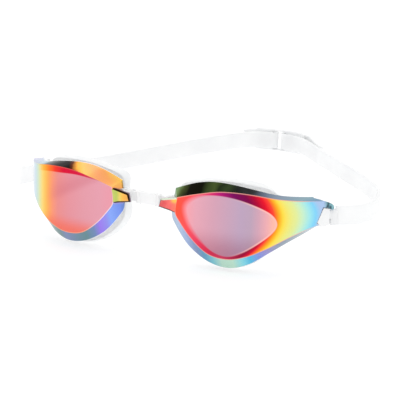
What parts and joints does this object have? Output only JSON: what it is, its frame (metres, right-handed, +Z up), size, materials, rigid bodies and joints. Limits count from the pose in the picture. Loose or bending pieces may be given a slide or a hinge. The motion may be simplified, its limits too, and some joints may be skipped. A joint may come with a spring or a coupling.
{
  "type": "swim goggles",
  "caption": "Mirrored wrap-lens swim goggles with silicone face seals, a flexible nose bridge and a flat silicone strap with a slotted back clip.",
  "frame": {"origin": "on the ground under the middle of the whole object, strap included", "axes": "+X to the right of someone facing the lenses, -Y the way the lenses face, +Y to the back of the strap loop, +Z up"},
  "size_m": [0.183, 0.1666, 0.0389],
  "materials": {
    "mirror_lens": "tinted polycarbonate with a red-to-blue mirror coating",
    "hard_white": "satin white",
    "seal_silicone": "milky silicone",
    "strap_silicone": "milky silicone",
    "clip_white": "satin white",
    "bridge_white": "flexible, satin white"
  },
  "bodies": {
    "bridge": {"nose_bridge": "bridge_white"},
    "right_eyepiece": {"lens_right": "mirror_lens", "frame_right": "hard_white", "gasket_right": "seal_silicone", "strap_post_right": "hard_white"},
    "left_eyepiece": {"lens_left": "mirror_lens", "frame_left": "hard_white", "gasket_left": "seal_silicone", "strap_post_left": "hard_white"},
    "right_clip": {"strap_clip_right": "hard_white"},
    "left_clip": {"strap_clip_left": "hard_white"},
    "right_strap": {"strap_right": "strap_silicone"},
    "left_strap": {"strap_left": "strap_silicone"},
    "back_clip": {"back_clip": "clip_white"}
  },
  "joints": [
    {"name": "right_fold", "type": "hinge", "parent": "bridge", "child": "right_eyepiece", "pos_m": [0.01384, -0.07802, 0.0267], "axis": [0, 0, 1], "range_deg": [-5, 5], "stiffness_Nm_per_rad": 0.06},
    {"name": "left_fold", "type": "hinge", "parent": "bridge", "child": "left_eyepiece", "pos_m": [-0.00576, -0.07802, 0.0267], "axis": [0, 0, 1], "range_deg": [-5, 5], "stiffness_Nm_per_rad": 0.06},
    {"name": "right_clip_turn", "type": "hinge", "parent": "right_eyepiece", "child": "right_clip", "pos_m": [0.0745, -0.05018, 0.0238], "axis": [0, 0, 1], "range_deg": [-6.17, 6.17]},
    {"name": "left_clip_turn", "type": "hinge", "parent": "left_eyepiece", "child": "left_clip", "pos_m": [-0.06642, -0.05018, 0.0238], "axis": [0, 0, 1], "range_deg": [-6.17, 6.17]},
    {"name": "strap_lift", "type": "hinge", "parent": "right_clip", "child": "right_strap", "pos_m": [0.0745, -0.05018, 0.0227], "axis": [1, 0, 0], "range_deg": [-8, 30], "stiffness_Nm_per_rad": 0.25},
    {"name": "left_strap_lift", "type": "hinge", "parent": "left_clip", "child": "left_strap", "pos_m": [-0.06642, -0.05018, 0.0227], "axis": [1, 0, 0], "range_deg": [-8, 30], "stiffness_Nm_per_rad": 0.25},
    {"name": "back_clip_turn", "type": "hinge", "parent": "right_strap", "child": "back_clip", "pos_m": [0.00824, 0.07999, 0.0227], "axis": [0, 0, 1], "range_deg": [-1.17, 1.17]}
  ],
  "couplings": [
    {"joint": "left_fold", "follows": "right_fold", "ratio": -1},
    {"joint": "right_clip_turn", "follows": "right_fold", "ratio": -1.2139},
    {"joint": "left_clip_turn", "follows": "right_fold", "ratio": 1.2139},
    {"joint": "back_clip_turn", "follows": "right_fold", "ratio": 0.2139},
    {"joint": "left_strap_lift", "follows": "strap_lift", "ratio": 1}
  ]
}
